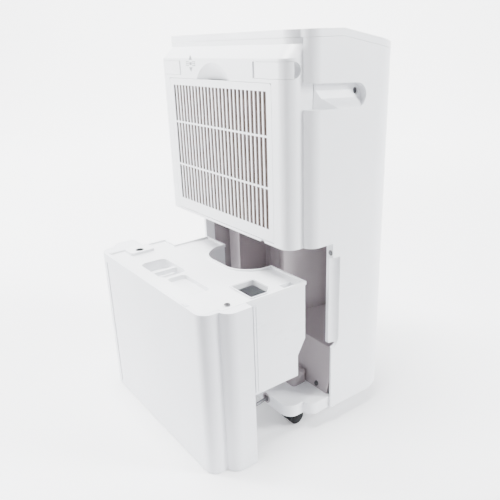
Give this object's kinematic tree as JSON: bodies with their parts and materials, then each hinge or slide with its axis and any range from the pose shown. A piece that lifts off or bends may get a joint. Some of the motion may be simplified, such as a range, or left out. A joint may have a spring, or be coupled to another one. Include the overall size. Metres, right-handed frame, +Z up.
{
  "type": "dehumidifier",
  "caption": "Upright white home dehumidifier on casters, with a slotted air filter, fold-out cord hooks and a lift-out water tank drawn out of its bay.",
  "frame": {"origin": "on the floor, under the middle of the box that holds the machine and its drawn-out tank", "axes": "+Z up, -Y towards the service side with the filter and tank, +Y towards the room side"},
  "size_m": [0.35, 0.356, 0.5775],
  "materials": {
    "white_shell": "fine satin texture",
    "white_liner": "satin",
    "tank_white": "satin",
    "float_white": "satin",
    "filter_dark": "fine woven mesh",
    "panel_gloss": "gloss",
    "lens": "gloss",
    "button_white": "gloss",
    "caster_black": "moulded",
    "wheel_black": "moulded",
    "steel": "brushed",
    "fin_aluminium": "rolled",
    "copper": "drawn copper tube",
    "compressor_black": "baked enamel",
    "rubber_black": "matt",
    "grey_plastic": "satin",
    "board_green": "solder mask"
  },
  "bodies": {
    "cabinet": {"main_shell": "white_shell", "service_housing": "white_shell", "top_cover": "white_shell", "base_tray": "white_shell", "bay_liner": "white_liner", "compressor_cover": "white_liner", "bay_pedestal": "white_liner", "drain_port": "white_liner", "control_panel": "panel_gloss", "display_lens": "lens", "bay_screws": "steel", "hook_pins": "steel", "drain_tube": "steel", "evaporator": "fin_aluminium", "condenser": "fin_aluminium", "coil_end_plates": "fin_aluminium", "coil_bends": "copper", "suction_pipe": "copper", "discharge_pipe": "copper", "accumulator": "copper", "compressor": "compressor_black", "compressor_feet": "rubber_black", "cord_gland": "rubber_black", "drip_tray": "grey_plastic", "fan_scroll": "grey_plastic", "outlet_grille": "grey_plastic", "run_capacitor": "grey_plastic", "fan_motor": "steel", "motor_bracket": "steel", "control_board": "board_green"},
    "tank": {"tank_body": "tank_white", "tank_lid": "tank_white", "tank_panel": "tank_white", "tank_screw": "steel", "float_bracket": "float_white"},
    "float": {"tank_float": "float_white", "float_arm": "float_white"},
    "filter": {"filter_frame": "white_shell", "filter_mesh": "filter_dark"},
    "hook_right": {"cord_hook_right": "white_shell"},
    "hook_left": {"cord_hook_left": "white_shell"},
    "louvre": {"outlet_louvre": "white_shell"},
    "impeller": {"fan_impeller": "grey_plastic", "motor_shaft": "steel"},
    "button_1_body": {"button_1": "button_white"},
    "button_2_body": {"button_2": "button_white"},
    "button_3_body": {"button_3": "button_white"},
    "button_4_body": {"button_4": "button_white"},
    "caster_rear_left": {"caster_yoke_rear_left": "caster_black", "caster_axle_rear_left": "steel"},
    "wheels_rear_left": {"caster_wheels_rear_left": "wheel_black"},
    "caster_rear_right": {"caster_yoke_rear_right": "caster_black", "caster_axle_rear_right": "steel"},
    "wheels_rear_right": {"caster_wheels_rear_right": "wheel_black"},
    "caster_front_left": {"caster_yoke_front_left": "caster_black", "caster_axle_front_left": "steel"},
    "wheels_front_left": {"caster_wheels_front_left": "wheel_black"},
    "caster_front_right": {"caster_yoke_front_right": "caster_black", "caster_axle_front_right": "steel"},
    "wheels_front_right": {"caster_wheels_front_right": "wheel_black"}
  },
  "joints": [
    {"name": "tank_slide", "type": "slide", "parent": "cabinet", "child": "tank", "axis": [0, 0.9446, 0.3283], "range_m": [0, 0.14927]},
    {"name": "float_swing", "type": "hinge", "parent": "tank", "child": "float", "pos_m": [-0.077, -0.103, 0.236], "axis": [1, 0, 0], "range_deg": [0, 25]},
    {"name": "filter_tilt", "type": "hinge", "parent": "cabinet", "child": "filter", "pos_m": [0, -0.0358, 0.3052], "axis": [1, 0, 0], "range_deg": [0, 30]},
    {"name": "hook_right_swing", "type": "hinge", "parent": "cabinet", "child": "hook_right", "pos_m": [0.0966, -0.0331, 0.531], "axis": [0, 0, -1], "range_deg": [0, 95]},
    {"name": "hook_left_swing", "type": "hinge", "parent": "cabinet", "child": "hook_left", "pos_m": [-0.0966, -0.0331, 0.531], "axis": [0, 0, 1], "range_deg": [0, 95]},
    {"name": "louvre_tilt", "type": "hinge", "parent": "cabinet", "child": "louvre", "pos_m": [0, 0.0046, 0.5749], "axis": [1, 0, 0], "range_deg": [0, 65]},
    {"name": "fan_spin", "type": "hinge", "parent": "cabinet", "child": "impeller", "pos_m": [0, 0.05, 0.425], "axis": [0, 1, 0], "continuous": true},
    {"name": "button_1_press", "type": "slide", "parent": "cabinet", "child": "button_1_body", "axis": [0, -0.1867, -0.9824], "range_m": [0, 0.0012], "stiffness_N_per_m": 400, "springref_m": -0.0003},
    {"name": "button_2_press", "type": "slide", "parent": "cabinet", "child": "button_2_body", "axis": [0, -0.1867, -0.9824], "range_m": [0, 0.0012], "stiffness_N_per_m": 400, "springref_m": -0.0003},
    {"name": "button_3_press", "type": "slide", "parent": "cabinet", "child": "button_3_body", "axis": [0, -0.1867, -0.9824], "range_m": [0, 0.0012], "stiffness_N_per_m": 400, "springref_m": -0.0003},
    {"name": "button_4_press", "type": "slide", "parent": "cabinet", "child": "button_4_body", "axis": [0, -0.1867, -0.9824], "range_m": [0, 0.0012], "stiffness_N_per_m": 400, "springref_m": -0.0003},
    {"name": "swivel_rear_left", "type": "hinge", "parent": "cabinet", "child": "caster_rear_left", "pos_m": [-0.131, -0.014, 0.03], "axis": [0, 0, 1], "continuous": true},
    {"name": "roll_rear_left", "type": "hinge", "parent": "caster_rear_left", "child": "wheels_rear_left", "pos_m": [-0.131, -0.009, 0.0125], "axis": [1, 0, 0], "continuous": true},
    {"name": "swivel_rear_right", "type": "hinge", "parent": "cabinet", "child": "caster_rear_right", "pos_m": [0.131, -0.014, 0.03], "axis": [0, 0, 1], "continuous": true},
    {"name": "roll_rear_right", "type": "hinge", "parent": "caster_rear_right", "child": "wheels_rear_right", "pos_m": [0.131, -0.009, 0.0125], "axis": [1, 0, 0], "continuous": true},
    {"name": "swivel_front_left", "type": "hinge", "parent": "cabinet", "child": "caster_front_left", "pos_m": [-0.128, 0.128, 0.03], "axis": [0, 0, 1], "continuous": true},
    {"name": "roll_front_left", "type": "hinge", "parent": "caster_front_left", "child": "wheels_front_left", "pos_m": [-0.128, 0.133, 0.0125], "axis": [1, 0, 0], "continuous": true},
    {"name": "swivel_front_right", "type": "hinge", "parent": "cabinet", "child": "caster_front_right", "pos_m": [0.128, 0.128, 0.03], "axis": [0, 0, 1], "continuous": true},
    {"name": "roll_front_right", "type": "hinge", "parent": "caster_front_right", "child": "wheels_front_right", "pos_m": [0.128, 0.133, 0.0125], "axis": [1, 0, 0], "continuous": true}
  ]
}
